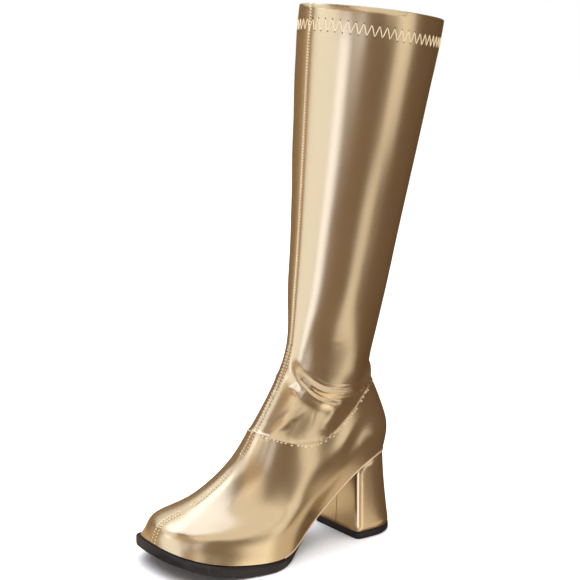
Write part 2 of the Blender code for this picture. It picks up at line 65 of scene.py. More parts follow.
# The seam lies in a valley of this depth and reach, in a strip of the front of this half width.
VALLEY_DEPTH, VALLEY_REACH = 0.55, 1.6
VALLEY_STRIP = 16.0
VALLEY_BACK = -50.0

# The middle of the collar's zigzag, from the front round the outer side to the back.
HEM_LINE = (
    (0.0, -65.3, 430.2), (16.1, -62.5, 430.0), (29.7, -55.3, 428.8), (40.2, -45.1, 427.0), (47.9, -32.8, 425.2),
    (53.3, -16.7, 422.8), (54.0, 3.9, 420.2), (44.1, 32.5, 417.8), (24.0, 55.0, 415.6), (0.0, 62.3, 414.6))
ZIGZAG_PITCH = 6.4
ZIGZAG_HEIGHT = 9.6
# The zigzag leaves the zip free at this place along Y, by this much on each side.
ZIP_AT_COLLAR = -4.3
ZIP_CLEARANCE = 9.0
ZIGZAG_RADIUS, ZIGZAG_DIP, ZIGZAG_LIFT, ZIGZAG_HOLE = 0.33, 0.45, 0.2, 0.62

# The foot panel's top edge lies between these levels and goes round this middle (X, Y). The shaft
# swells by the ease where it leaves the edge.
PANEL_EDGE_LEVELS = (88.0, 142.0)
PANEL_MIDDLE = (2.0, -60.0)
PANEL_EASE, PANEL_EASE_REACH = 0.35, 3.0
PANEL_EASE_START, PANEL_EASE_RISE = 0.15, 0.3

# The skin is finer between these levels, where the folds are: its edges that run up are cut.
ANKLE_LEVELS = (103.0, 180.0)
ANKLE_CUTS = 2
UPWARD_SHARE = 0.6

# The ripple beside the zip: height, length of a wave, and its sway along Y.
RIPPLE_HEIGHT, RIPPLE_LENGTH = 0.2, 8.6
RIPPLE_SWAY, RIPPLE_SWAY_LENGTH = 1.6, 15.0

# Stitches: length, thread radius, dip of the ends, lift off the skin, radius of the needle holes.
SHAFT_STITCH = (2.4, 0.44, 0.5, 0.35, 0.42)
FOOT_STITCH = (1.6, 0.3, 0.3, 0.2, 0.285)
QUARTER_STITCH = (1.7, 0.36, 0.36, 0.4, 0.342)
SHAFT_PITCH, FOOT_PITCH, QUARTER_PITCH = 2.4, 2.7, 3.0
SHAFT_STITCH_TURN = math.radians(42)
FOOT_ROW_OFFSET = 2.3
QUARTER_DROP = 2.1
# A needle hole sits this far out, sinks and rises by these, and its lip is a share of its radius.
HOLE_LIFT = 0.05
HOLE_SINK, HOLE_RISE, HOLE_LIP = 0.05, 0.14, 0.35

# The turned bottom edge: radius and lift, pitch and length of its pieces, how far forward and how high
# it goes, and the place along Y that it goes round.
ROLL_RADIUS, ROLL_LIFT = 0.65, 0.1
ROLL_PITCH, ROLL_PIECE = 2.0, 2.7
ROLL_FRONT, ROLL_TOP, ROLL_MIDDLE = -118.0, 80.0, -70.0

# The closed coil: pitch, distance from the middle and lift, then length, radius and dip of a loop.
TOOTH_PITCH, TOOTH_OFFSET, TOOTH_LIFT = 1.35, 1.25, 0.1
TOOTH_LENGTH, TOOTH_RADIUS, TOOTH_DIP = 2.9, 0.6, 0.35
TOOTH_TURN = math.radians(9)

# The join down the heel's breast: two levels on the breast, and the size of the cut.
JOIN_LEVELS = (8.0, 30.0)
JOIN_SIZE = (0.7, 3.0, 90.0)

# How far a fold reaches in widths, the share of its line over which it fades in, how deep it acts.
FOLD_REACH = 3.0
FOLD_FADE = 0.22
FOLD_DEPTH = 8.0

# Folds and creases: height (above 0 for a ridge, below for a trough), reach above and below the line,
# the line.
OUTER_FOLDS = (
    (-0.8, 7.5, 3.0, ((10.4, -80.0, 170.0), (14.2, -79.1, 159.5), (20.5, -75.3, 150.0), (25.5, -68.8, 143.7),
                      (29.2, -59.9, 138.8), (31.3, -47.6, 136.2), (29.5, -31.9, 135.6), (21.1, -15.0, 138.0),
                      (10.0, -2.0, 146.0), (0.0, 1.0, 152.0), (-10.0, -2.0, 152.0))),
    (1.45, 3.0, 2.6, ((12.5, -80.5, 160.0), (17.1, -79.7, 150.0), (23.9, -73.9, 141.0), (28.0, -66.3, 136.0),
                      (30.3, -57.5, 133.2), (31.5, -47.7, 131.6), (30.3, -35.7, 131.0), (23.0, -18.8, 132.8),
                      (17.6, -7.6, 136.6), (13.0, -2.0, 142.0), (6.0, 0.0, 146.0), (-3.0, 1.5, 148.0),
                      (-12.0, -3.0, 146.0), (-20.0, -16.0, 140.0))),
    (-1.1, 2.3, 2.3, ((14.5, -81.6, 152.5), (19.8, -78.6, 144.0), (24.5, -74.2, 137.6), (27.2, -69.8, 133.4),
                      (29.2, -64.0, 130.6), (31.0, -54.7, 128.2), (31.4, -44.4, 126.8), (30.0, -34.0, 126.6))),
    (1.25, 3.6, 4.6, ((7.0, -83.5, 163.0), (12.4, -83.4, 150.8), (18.1, -81.2, 142.4), (24.7, -75.2, 134.0),
                      (28.6, -67.2, 128.2), (30.8, -58.0, 125.2), (31.3, -48.4, 124.2))),
    (-0.7, 4.6, 7.5, ((9.5, -89.4, 146.5), (17.2, -86.2, 137.6), (23.2, -80.3, 129.8), (28.3, -71.2, 123.3),
                      (30.6, -61.5, 119.9), (31.4, -54.6, 119.4))),
    (0.75, 5.0, 5.0, ((31.3, -42.3, 130.0), (31.2, -51.5, 120.4), (31.4, -59.8, 112.0), (31.7, -69.2, 102.9))),
    (-0.5, 6.0, 6.0, ((30.2, -31.9, 127.6), (29.7, -42.6, 114.7), (30.3, -53.2, 103.4))),
    (-0.5, 1.9, 1.9, ((31.0, -42.1, 126.9), (26.2, -26.8, 127.7), (20.6, -12.0, 129.6))),
    (0.6, 11.0, 11.0, ((20.5, -100.0, 122.0), (24.0, -94.0, 110.5))),
    (-0.4, 8.0, 8.0, ((8.9, -91.3, 144.2), (13.7, -95.5, 132.7), (17.9, -105.6, 117.8),
                      (18.5, -112.8, 107.0))),
    (-0.12, 1.6, 1.6, ((22.2, -63.7, 176.9), (25.7, -55.0, 175.8), (28.5, -45.0, 174.2))),
    (-0.12, 1.6, 1.6, ((20.6, -70.4, 161.9), (23.9, -63.5, 161.4), (27.1, -54.1, 160.8))),
)
INNER_FOLDS = (
    (-0.7, 6.5, 4.0, ((-10.0, -80.6, 163.0), (-17.5, -77.0, 152.0), (-23.5, -70.0, 144.0), (-26.0, -62.0, 139.5))),
    (0.9, 2.8, 2.4, ((-13.3, -81.0, 151.0), (-19.0, -77.5, 144.0), (-24.5, -70.5, 137.5), (-27.5, -60.5, 134.0))),
    (-0.9, 2.2, 2.0, ((-14.5, -81.5, 147.0), (-20.5, -77.0, 139.6), (-26.0, -69.0, 133.6), (-28.5, -61.0, 130.6))),
    (0.9, 2.8, 3.4, ((-10.0, -84.5, 148.0), (-18.0, -81.5, 139.0), (-25.0, -73.0, 130.6), (-28.0, -64.0, 127.0))),
    (-0.6, 4.0, 5.0, ((-14.0, -89.0, 137.0), (-21.5, -82.0, 129.0), (-27.0, -71.0, 122.0))),
    (-1.0, 4.0, 3.0, ((-24.0, -26.0, 138.0), (-17.0, -12.0, 139.5), (-8.0, -2.5, 142.0))),
    (1.2, 2.8, 2.2, ((-27.0, -34.0, 130.0), (-24.0, -25.0, 133.0), (-18.0, -12.5, 138.0), (-12.0, -4.0, 144.0))),
)

# An edge of the upper that turns by more than the rim's angle is a rim, and by more than the panel's
# angle a panel edge.
RIM_ANGLE, RIM_CREASE = math.radians(62), 0.55
PANEL_EDGE_ANGLE, PANEL_EDGE_CREASE = math.radians(24), 0.9
BOTTOM_EDGE_ANGLE = math.radians(25)
SOLID_EDGE_ANGLE = math.radians(38)
# Edges that turn by more than these are shaded sharp.
SKIN_SHARP, STITCH_SHARP, METAL_SHARP = math.radians(50), math.radians(70), math.radians(35)
REFINE_LEVELS = 2
SPLINE_STEPS = 24


# ---------------------------------------------------------------- small helpers

def deselect():
    bpy.ops.object.select_all(action="DESELECT")


def metres(points):
    """Points in metres from points in millimetres."""
    return [Vector(p) * MM for p in points]


def as_array(points):
    return np.array([tuple(p) for p in points])


def ramp(values, start, width):
    """From 0 at the start to 1 a width further on, both in millimetres."""
    return np.clip((values - start * MM) / (width * MM), 0.0, 1.0)


def pick(obj):
    """Makes an object the only selected and active one."""
    deselect()
    obj.select_set(True)
    bpy.context.view_layer.objects.active = obj


def edit_all(obj):
    """Opens an object in edit mode with its whole mesh selected."""
    pick(obj)
    bpy.ops.object.mode_set(mode="EDIT")
    bpy.ops.mesh.select_all(action="SELECT")


def leave_edit_mode():
    bpy.ops.object.mode_set(mode="OBJECT")


def face_outward():
    """Turns the faces of the mesh in edit mode outwards."""
    bpy.ops.mesh.select_all(action="SELECT")
    bpy.ops.mesh.normals_make_consistent(inside=False)


def smooth_line(hints, step):
    """Evenly spaced points of a smooth line through the hints."""
    hints = [Vector(h) for h in hints]
    padded = [hints[0] * 2 - hints[1]] + hints + [hints[-1] * 2 - hints[-2]]
    fine = []
    for a, b, c, d in zip(padded, padded[1:], padded[2:], padded[3:]):
        for i in range(SPLINE_STEPS):
            t = i / SPLINE_STEPS
            fine.append(0.5 * (2 * b + (c - a) * t + (2 * a - 5 * b + 4 * c - d) * t * t
                               + (3 * b - a - 3 * c + d) * t ** 3))
    fine.append(hints[-1])
    lengths = np.concatenate([[0.0], np.cumsum([(b - a).length for a, b in zip(fine, fine[1:])])])
    count = max(2, round(lengths[-1] / step) + 1)
    wanted = np.linspace(0.0, lengths[-1], count)
    places = as_array(fine)
    return np.stack([np.interp(wanted, lengths, places[:, k]) for k in range(3)], axis=1)


def on_skin(tree, places):
    """Points on the skin nearest to the places, with the skin's outward normals."""
    points, normals = [], []
    for place in places:
        point, normal, _, _ = tree.find_nearest(Vector(place))
        points.append(point)
        normals.append(normal)
    return points, normals


# ---------------------------------------------------------------- refined copies of the CAD's own solids

def merged_copy(node, name):
    """A copy of a CAD node's mesh with its loose triangles joined to a closed skin of quads."""
    piece = bpy.data.objects.new(name, NODES[node].data.copy())
    piece.data.name = name
    piece.data.materials.clear()
    bpy.context.scene.collection.objects.link(piece)
    edit_all(piece)
    bpy.ops.mesh.remove_doubles(threshold=MERGE_DISTANCE)
    bpy.ops.mesh.customdata_custom_splitnormals_clear()
    bpy.ops.mesh.tris_convert_to_quads(face_threshold=math.pi, shape_threshold=math.pi)
    leave_edit_mode()
    return piece


def apply_modifier(piece, kind, **settings):
    pick(piece)
    modifier = piece.modifiers.new(kind, kind)
    for key, value in settings.items():
        setattr(modifier, key, value)
    bpy.ops.object.modifier_apply(modifier=modifier.name)


def crease_layer(bm):
    return bm.edges.layers.float.get("crease_edge") or bm.edges.layers.float.new("crease_edge")


def crease_sharp_edges(piece, amount):
    """Creases a hard solid's sharp edges, so that subdivision keeps them."""
    bm = bmesh.new()
    bm.from_mesh(piece.data)
    layer = crease_layer(bm)
    for edge in bm.edges:
        if edge.is_manifold and edge.calc_face_angle() > SOLID_EDGE_ANGLE:
            edge[layer] = amount
    bm.to_mesh(piece.data)
    bm.free()


def refine(piece):
    apply_modifier(piece, "SUBSURF", levels=REFINE_LEVELS, render_levels=REFINE_LEVELS)


def finish_piece(piece, body, materials, sharp=math.radians(40)):
    """Shades a piece, gives it its materials and lets it ride."""
    pick(piece)
    bpy.ops.object.shade_smooth_by_angle(angle=sharp)
    for material in materials:
        piece.data.materials.append(material)
    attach(piece, body)
    return piece


# ---------------------------------------------------------------- materials

def new_group(name, inputs, outputs):
    """A shader node group with named number inputs and outputs."""
    group = bpy.data.node_groups.new(name, "ShaderNodeTree")
    group.interface.new_socket("Place", in_out="INPUT", socket_type="NodeSocketVector")
    for key, value in inputs.items():
        group.interface.new_socket(key, in_out="INPUT", socket_type="NodeSocketFloat").default_value = value
    for key in outputs:
        group.interface.new_socket(key, in_out="OUTPUT", socket_type="NodeSocketFloat")
    return group, group.nodes.new("NodeGroupInput"), group.nodes.new("NodeGroupOutput")


def math_node(tree, operation, a, b, clamp=False):
    node = tree.nodes.new("ShaderNodeMath")
    node.operation = operation
    node.use_clamp = clamp
    for socket, value in zip(node.inputs, (a, b)):
        if isinstance(value, (int, float)):
            socket.default_value = value
        else:
            tree.links.new(value, socket)
    return node.outputs[0]


def noise(tree, place, scale, detail, roughness):
    node = tree.nodes.new("ShaderNodeTexNoise")
    node.inputs["Detail"].default_value = detail
    node.inputs["Roughness"].default_value = roughness
    tree.links.new(scale, node.inputs["Scale"])
    tree.links.new(place, node.inputs["Vector"])
    return node.outputs["Fac"]


def grain_group():
    """Height of a fine pebbled grain with a slight ripple. Sizes are features per metre."""
    sizes = {"Pebbles": 2200.0, "Ripple": 260.0, "Ripple share": 0.5}
    group, given, result = new_group("fine_grain", sizes, ("Height",))
    cells = group.nodes.new("ShaderNodeTexVoronoi")
    cells.feature = "SMOOTH_F1"
    group.links.new(given.outputs["Place"], cells.inputs["Vector"])
    group.links.new(given.outputs["Pebbles"], cells.inputs["Scale"])
    ripple = noise(group, given.outputs["Place"], given.outputs["Ripple"], 2.0, 0.55)
    swell = math_node(group, "MULTIPLY", ripple, given.outputs["Ripple share"])
    pebbles = math_node(group, "MULTIPLY", cells.outputs["Distance"], 0.12)
    group.links.new(math_node(group, "ADD", pebbles, swell), result.inputs["Height"])
    return group


def wear_group():
    """Broad cloudy patches, and rare fine scuffs, both from 0 to 1."""
    group, given, result = new_group("wear", {"Clouds": 22.0, "Scuffs": 190.0}, ("Cloud", "Scuff"))
    cloud = noise(group, given.outputs["Place"], given.outputs["Clouds"], 4.0, 0.6)
    group.links.new(cloud, result.inputs["Cloud"])
    stretch = group.nodes.new("ShaderNodeMapping")
    stretch.inputs["Scale"].default_value = (1.0, 1.0, 0.12)
    group.links.new(given.outputs["Place"], stretch.inputs["Vector"])
    streak = noise(group, stretch.outputs["Vector"], given.outputs["Scuffs"], 2.0, 0.5)
    rare = math_node(group, "SUBTRACT", streak, 0.62, clamp=True)
    group.links.new(math_node(group, "MULTIPLY", rare, 5.0, clamp=True), result.inputs["Scuff"])
    return group


def weave_group():
    """A plain cloth weave: threads up and along, with the height of the threads and painted shade in the gaps
    between them.
    """
    group, given, result = new_group("weave", {"Threads": 1100.0}, ("Height", "Gap shade"))
    waves = []
    for turn in ((1.0, 1.0, 0.0), (0.0, 0.0, 1.0)):
        mapping = group.nodes.new("ShaderNodeMapping")
        mapping.inputs["Scale"].default_value = turn
        group.links.new(given.outputs["Place"], mapping.inputs["Vector"])
        wave = group.nodes.new("ShaderNodeTexWave")
        wave.bands_direction = "DIAGONAL"
        wave.inputs["Distortion"].default_value = 0.6
        group.links.new(mapping.outputs["Vector"], wave.inputs["Vector"])
        group.links.new(given.outputs["Threads"], wave.inputs["Scale"])
        waves.append(wave.outputs["Fac"])
    height = math_node(group, "MAXIMUM", waves[0], waves[1])
    group.links.new(height, result.inputs["Height"])
    group.links.new(math_node(group, "SUBTRACT", 1.0, height, clamp=True), result.inputs["Gap shade"])
    return group


GRAIN, WEAR, WEAVE = grain_group(), wear_group(), weave_group()


GOLD_DARK, GOLD_LIGHT = (0.76, 0.61, 0.375), (0.81, 0.66, 0.42)
FADED_RUBBER = (0.030, 0.026, 0.024)


class Finish:
    """A Principled material that is being put together."""

    def __init__(self, name, **settings):
        self.material = bpy.data.materials.new(name)
        self.material.use_nodes = True
        self.tree = self.material.node_tree
        self.shader = self.tree.nodes["Principled BSDF"]
        self.place = self.tree.nodes.new("ShaderNodeTexCoord").outputs["Object"]
        for key, value in settings.items():
            self.shader.inputs[key.replace("_", " ")].default_value = value

    def group(self, group, **values):
        node = self.tree.nodes.new("ShaderNodeGroup")
        node.node_tree = group
        self.tree.links.new(self.place, node.inputs["Place"])
        for key, value in values.items():
            node.inputs[key.replace("_", " ")].default_value = value
        return node.outputs

    def blend(self, share, low, high):
        """A colour between two colours."""
        mix = self.tree.nodes.new("ShaderNodeMix")
        mix.data_type = "RGBA"
        self.tree.links.new(share, mix.inputs["Factor"])
        ends = [socket for socket in mix.inputs if socket.type == "RGBA"]
        for socket, colour in zip(ends, (low, high)):
            socket.default_value = (*colour, 1.0)
        return next(s for s in mix.outputs if s.type == "RGBA")

    def colour(self, output):
        self.tree.links.new(output, self.shader.inputs["Base Color"])

    def between(self, share, low, high, socket):
        """Drives one of the shader's inputs between two numbers."""
        spread = math_node(self.tree, "MULTIPLY", share, high - low)
        self.tree.links.new(math_node(self.tree, "ADD", spread, low), self.shader.inputs[socket])

    def bump(self, height, distance, strength):
        bump = self.tree.nodes.new("ShaderNodeBump")
        bump.inputs["Distance"].default_value = distance
        bump.inputs["Strength"].default_value = strength
        self.tree.links.new(height, bump.inputs["Height"])
        self.tree.links.new(bump.outputs["Normal"], self.shader.inputs["Normal"])


def gold_leather(name, ripple, dark=GOLD_DARK, light=GOLD_LIGHT, metallic=0.97):
    """Smooth metallic gold film on stretch cloth."""
    gold = Finish(name, Metallic=metallic, Coat_Weight=0.15, Coat_Roughness=0.24,
                  Specular_Tint=(0.75, 0.62, 0.45, 1.0))
    grain = gold.group(GRAIN, Ripple_share=ripple)
    wear = gold.group(WEAR)
    gold.colour(gold.blend(wear["Cloud"], dark, light))
    scuffs = math_node(gold.tree, "MULTIPLY", wear["Scuff"], 0.2)
    gold.between(math_node(gold.tree, "ADD", wear["Cloud"], scuffs), 0.24, 0.28, "Roughness")
    gold.bump(grain["Height"], 0.05 * MM, 0.18)
    return gold.material


def cloth(name, light, dark, threads):
    """Matt woven cloth, darker between the threads with painted shade."""
    made = Finish(name, Roughness=0.9, Sheen_Weight=0.25)
    weave = made.group(WEAVE, Threads=threads)
    made.colour(made.blend(weave["Gap shade"], light, dark))
    made.bump(weave["Height"], 0.15 * MM, 0.8)
    return made.material


def rubber(name, colour, roughness):
    """Dark sole stuff with faint streaks and dust."""
    made = Finish(name, Specular_IOR_Level=0.35)
    grain = made.group(GRAIN, Pebbles=1500.0, Ripple_share=0.8)
    wear = made.group(WEAR, Clouds=60.0, Scuffs=320.0)
    made.colour(made.blend(wear["Scuff"], colour, FADED_RUBBER))
    made.between(wear["Cloud"], roughness - 0.08, roughness + 0.1, "Roughness")
    made.bump(grain["Height"], 0.1 * MM, 0.6)
    return made.material


def metal(name, colour, worn):
    """Plated metal, brushed and a little worn."""
    made = Finish(name, Metallic=1.0)
    wear = made.group(WEAR, Clouds=160.0, Scuffs=900.0)
    grain = made.group(GRAIN, Pebbles=5000.0, Ripple=900.0, Ripple_share=0.4)
    made.colour(made.blend(wear["Scuff"], colour, worn))
    made.between(wear["Cloud"], 0.16, 0.34, "Roughness")
    made.bump(grain["Height"], 0.03 * MM, 0.5)
    return made.material


def thread(name, light, dark):
    """Twisted sewing thread, darker in the grooves of its twist with painted shade."""
    made = Finish(name, Roughness=0.62, Sheen_Weight=0.3)
    twist = made.tree.nodes.new("ShaderNodeTexWave")
    twist.bands_direction = "DIAGONAL"
    twist.inputs["Scale"].default_value = 900.0
    made.tree.links.new(made.place, twist.inputs["Vector"])
    made.colour(made.blend(twist.outputs["Fac"], dark, light))
    made.bump(twist.outputs["Fac"], 0.08 * MM, 0.7)
    return made.material


def clouded(name, dark, light, roughness):
    """Plain stuff whose colour and roughness vary a little from place to place."""
    made = Finish(name)
    wear = made.group(WEAR, Clouds=160.0)
    made.colour(made.blend(wear["Cloud"], dark, light))
    made.between(wear["Cloud"], roughness - 0.05, roughness + 0.05, "Roughness")
    return made.material


GOLD = gold_leather("gold_film_leather", 0.15)
HEEL_GOLD = gold_leather("gold_film_heel_cover", 0.1)
# The turned edge's paler, less metallic gold is a painted highlight along the fold of the upper's bottom edge.
PAINTED_HIGHLIGHT_EDGE_GOLD = gold_leather("turned_edge_painted_highlight", 0.1, (0.82, 0.66, 0.45), (0.88, 0.73, 0.52), 0.6)
# The darker colour of each cloth is painted shade in the gaps between its threads.
LINING = cloth("beige_lining", (0.62, 0.52, 0.38), (0.36, 0.29, 0.20), 700.0)
SOCK = cloth("insole_sock_cloth", (0.66, 0.56, 0.42), (0.42, 0.34, 0.24), 600.0)
TAPE = cloth("zip_tape_cloth", (0.26, 0.18, 0.09), (0.12, 0.08, 0.04), 900.0)
SOLE = rubber("black_sole_unit", (0.011, 0.009, 0.009), 0.38)
TIP = rubber("black_heel_tip", (0.009, 0.008, 0.008), 0.45)
BRASS = metal("gold_plated_slider", (0.80, 0.62, 0.34), (0.90, 0.76, 0.50))
THREAD = thread("pale_gold_thread", (0.90, 0.78, 0.56), (0.66, 0.50, 0.30))
# The needle holes' near-black colour is painted shade inside the holes.
HOLE_SHADE = clouded("needle_hole_shadow", (0.040, 0.024, 0.012), (0.060, 0.036, 0.018), 0.9)
COIL = clouded("zip_coil_nylon", (0.56, 0.41, 0.22), (0.64, 0.47, 0.26), 0.42)


# ---------------------------------------------------------------- the upper's skin

def outer_faces(bm):
    """The upper's outer wall: all faces that are reached from the outer side without turning a rim."""
    start = max(bm.faces, key=lambda f: f.calc_center_median().x)
    found, queue = {start}, [start]
    while queue:
        face = queue.pop()
        for edge in face.edges:
            for other in edge.link_faces:
                if other not in found and edge.calc_face_angle() < RIM_ANGLE:
                    found.add(other)
                    queue.append(other)
    return found


def nearest_on_line(places, line):
    """For each place the index of the line's nearest point, and the step from that point to the place."""
    gaps = places[:, None, :] - line[None, :, :]
    nearest = np.argmin((gaps ** 2).sum(2), axis=1)
    return nearest, gaps[np.arange(len(places)), nearest]


def round_line(places, line, reach):
    """The indices of the places in the line's box, made larger by a reach."""
    return np.all((places > line.min(0) - reach) & (places < line.max(0) + reach), axis=1).nonzero()[0]


def fold_moves(places, normals, tree):
    """How far each place moves along its normal for the folds."""
    moves = np.zeros(len(places))
    for height, above, below, hints in OUTER_FOLDS + INNER_FOLDS:
        line = as_array(on_skin(tree, smooth_line(metres(hints), MM))[0])
        along = np.gradient(line, axis=0)
        along /= np.linalg.norm(along, axis=1)[:, None]
        near = round_line(places, line, FOLD_REACH * max(above, below) * MM)
        nearest, gap = nearest_on_line(places[near], line)
        tangent = along[nearest]
        side = np.cross(tangent, normals[near])
        side *= np.where(side[:, 2] < 0, -1.0, 1.0)[:, None]
        across = (gap * side).sum(1)
        beyond = (gap * tangent).sum(1)
        depth = np.abs((gap * normals[near]).sum(1))
        width = np.where(across > 0, above, below) * MM
        share = nearest / (len(line) - 1)
        fade = np.clip(np.minimum(share, 1 - share) / FOLD_FADE, 0.0, 1.0)
        fade = fade * fade * (3 - 2 * fade)
        close = np.exp(-(across / width) ** 2 - (beyond / width) ** 2) * (depth < FOLD_DEPTH * MM)
        moves[near] += height * MM * close * fade
    return moves


def seam_valley(places, tree, moves):
    """The front centre seam sits in a shallow valley."""
    line = as_array(on_skin(tree, smooth_line(metres(FRONT_LINE), 2 * MM))[0])
    near = (np.abs(places[:, 0]) < VALLEY_STRIP * MM).nonzero()[0]
    near = near[places[near, 1] < VALLEY_BACK * MM]
    distance = np.linalg.norm(nearest_on_line(places[near], line)[1], axis=1)
    moves[near] -= VALLEY_DEPTH * MM * np.exp(-(distance / (VALLEY_REACH * MM)) ** 2)


def panel_swell(places, edge_points, moves):
    """The stretch shaft swells a little where it leaves the foot panel's edge."""
    rim = quarter_line([Vector(p) for p in edge_points])
    rim = smooth_line(rim + rim[:1], 2 * MM)
    near = round_line(places, rim, 2 * PANEL_EASE_REACH * MM)
    gap = nearest_on_line(places[near], rim)[1]
    above = ramp(gap[:, 2], PANEL_EASE_START, PANEL_EASE_RISE)
    distance = np.linalg.norm(gap, axis=1)
    moves[near] += PANEL_EASE * MM * above * np.exp(-(distance / (PANEL_EASE_REACH * MM)) ** 2)


def zip_ripple(places, moves):
    """The inner side ripples a little beside the zip."""
    x, y, z = places.T
    share = ramp(-x, 12.0, 20.0) * ramp(z, 170.0, 40.0) * ramp(-z, -432.0, 20.0)
    sway = RIPPLE_SWAY * np.sin(y / (RIPPLE_SWAY_LENGTH * MM))
    moves += RIPPLE_HEIGHT * MM * share * np.sin(z / (RIPPLE_LENGTH * MM) + sway)


def runs_up(edge):
    """Whether an edge runs up the skin, and not round it."""
    step = edge.verts[1].co - edge.verts[0].co
    return abs(step.z) > UPWARD_SHARE * step.length


def prepare_upper(piece):
    """Creases the upper's rims and panel edge, parts skin from lining, and gives the panel edge's points."""
    bm = bmesh.new()
    bm.from_mesh(piece.data)
    bm.normal_update()
    layer = crease_layer(bm)
    wall = outer_faces(bm)
    edge_points = set()
    lowest, highest = PANEL_EDGE_LEVELS
    for edge in bm.edges:
        angle = edge.calc_face_angle()
        if angle > RIM_ANGLE:
            edge[layer] = RIM_CREASE
        elif angle > PANEL_EDGE_ANGLE and all(f in wall for f in edge.link_faces):
            middle = (edge.verts[0].co + edge.verts[1].co) / 2
            if lowest * MM < middle.z < highest * MM:
                edge[layer] = PANEL_EDGE_CREASE
                if edge.is_convex:
                    edge_points.update(tuple(v.co) for v in edge.verts)
    # The rims belong to the outer skin.
    for face in bm.faces:
        beside = any(other in wall for e in face.edges for other in e.link_faces)
        face.material_index = 0 if face in wall or beside else 1
    bm.to_mesh(piece.data)
    bm.free()
    return edge_points


def make_upper():
    """The upper: the CAD's wall made fine, with the seam's valley, the ankle's folds and a soft stretch."""
    piece = merged_copy("upper", "upper_skin")
    edge_points = prepare_upper(piece)
    refine(piece)
    bm = bmesh.new()
    bm.from_mesh(piece.data)
    lowest, highest = ANKLE_LEVELS
    ankle = [f for f in bm.faces
             if f.material_index == 0 and lowest * MM < f.calc_center_median().z < highest * MM]
    rising = [e for e in {e for f in ankle for e in f.edges} if runs_up(e)]
    bmesh.ops.subdivide_edges(bm, edges=rising, cuts=ANKLE_CUTS, use_grid_fill=True)
    bm.normal_update()
    tree = skin_tree(bm)
    places = as_array(v.co for v in bm.verts)
    normals = as_array(v.normal for v in bm.verts)
    outward = [1.0 if any(f.material_index == 0 for f in v.link_faces) else -1.0 for v in bm.verts]
    normals *= np.array(outward)[:, None]
    moves = fold_moves(places, normals, tree)
    seam_valley(places, tree, moves)
    panel_swell(places, edge_points, moves)
    zip_ripple(places, moves)
    for vert, normal, move in zip(bm.verts, normals, moves):
        vert.co += Vector(normal) * move
    bm.normal_update()
    tree = skin_tree(bm)
    bm.to_mesh(piece.data)
    bm.free()
    finish_piece(piece, "boot", (GOLD, LINING), SKIN_SHARP)
    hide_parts("upper")
    return tree, [Vector(p) for p in edge_points]


def skin_tree(bm):
    """A search tree of the upper's outer skin."""
    bm.verts.index_update()
    places = [v.co.copy() for v in bm.verts]
    return BVHTree.FromPolygons(places, [[v.index for v in f.verts] for f in bm.faces if f.material_index == 0])


# ---------------------------------------------------------------- stitches

# The steps of a stitch: share of its length, rise as a share of the dip, growth of the section.
STITCH_STEPS = ((0.16, 0.75, 1.7), (0.34, 0.25, 1.08), (0.34, -0.25, 0.94), (0.16, -0.75, 0.58))


def thread_stitch(length, radius, dip):
    """One stitch along X: a thread that comes out of the leather, lies on it and goes back in."""
    deselect()
    bpy.ops.mesh.primitive_circle_add(vertices=6, radius=radius * 0.55, fill_type="NGON",
                                      location=(-length / 2, 0.0, -dip), rotation=(0.0, math.pi / 2, 0.0))
    stitch = bpy.context.object
    bpy.ops.object.transform_apply(location=True, rotation=True, scale=True)
    edit_all(stitch)
    for share, rise, swell in STITCH_STEPS:
        step = (length * share, 0.0, dip * rise)
        bpy.ops.mesh.extrude_region_move(TRANSFORM_OT_translate={"value": step})
        bpy.ops.transform.resize(value=(1.0, swell, swell))
    face_outward()
    leave_edit_mode()
    return stitch


def needle_hole(radius):
    """A pricked hole: a low dimple with a raised lip, darkened with painted shade."""
    deselect()
    bpy.ops.mesh.primitive_circle_add(vertices=8, radius=radius, fill_type="NGON",
                                      location=(0.0, 0.0, -HOLE_SINK * MM))
    hole = bpy.context.object
    bpy.ops.object.transform_apply(location=True, rotation=True, scale=True)
    edit_all(hole)
    bpy.ops.mesh.extrude_region_move(TRANSFORM_OT_translate={"value": (0.0, 0.0, HOLE_RISE * MM)})
    bpy.ops.mesh.inset(thickness=radius * HOLE_LIP, depth=-HOLE_SINK * MM)
    face_outward()
    leave_edit_mode()
    return hole


def spread_copies(pattern, seats, name, material):
    """Copies of a pattern, one at each seat (a 4x4 matrix), joined to one piece that rides the boot."""
    deselect()
    for seat in seats:
        twin = bpy.data.objects.new(name, pattern.data.copy())
        twin.data.transform(seat)
        bpy.context.scene.collection.objects.link(twin)
        twin.select_set(True)
        bpy.context.view_layer.objects.active = twin
    bpy.ops.object.join()
    piece = bpy.context.object
    piece.name = name
    bpy.data.objects.remove(pattern)
    return finish_piece(piece, "boot", (material,), STITCH_SHARP)


def seat_of(point, along, normal, lift, turn=0.0):
    """A seat with X along the line and Z out of the skin, turned about the normal."""
    side = normal.cross(along).normalized()
    along = side.cross(normal).normalized()
    turned = along * math.cos(turn) + side * math.sin(turn)
    side = normal.cross(turned)
    seat = Matrix((turned, side, normal)).transposed().to_4x4()
    seat.translation = point + normal * lift
    return seat


def line_frames(tree, places):
    """Points, directions and normals along a line on the skin."""
    points, normals = on_skin(tree, places)
    frames = []
    for i, (point, normal) in enumerate(zip(points, normals)):
        before, after = points[max(0, i - 1)], points[min(len(points) - 1, i + 1)]
        frames.append((point, (after - before).normalized(), normal))
    return frames


def sew(tree, places, name, sizes, turn=0.0):
    """A row of stitches along a line, with a needle hole between each two; the holes' dark colour is painted
    shade.
    """
    length, radius, dip, lift, hole = (size * MM for size in sizes)
    frames = line_frames(tree, places)
    seats = [seat_of(*at, lift, turn) for at in frames]
    spread_copies(thread_stitch(length, radius, dip), seats, name + "_stitches", THREAD)
    middles = [(a[0] + b[0]) / 2 for a, b in zip(frames, frames[1:]) if (a[0] - b[0]).length < 2.5 * length]
    seats = [seat_of(*at, HOLE_LIFT * MM) for at in line_frames(tree, middles)]
    spread_copies(needle_hole(hole), seats, name + "_needle_holes", HOLE_SHADE)


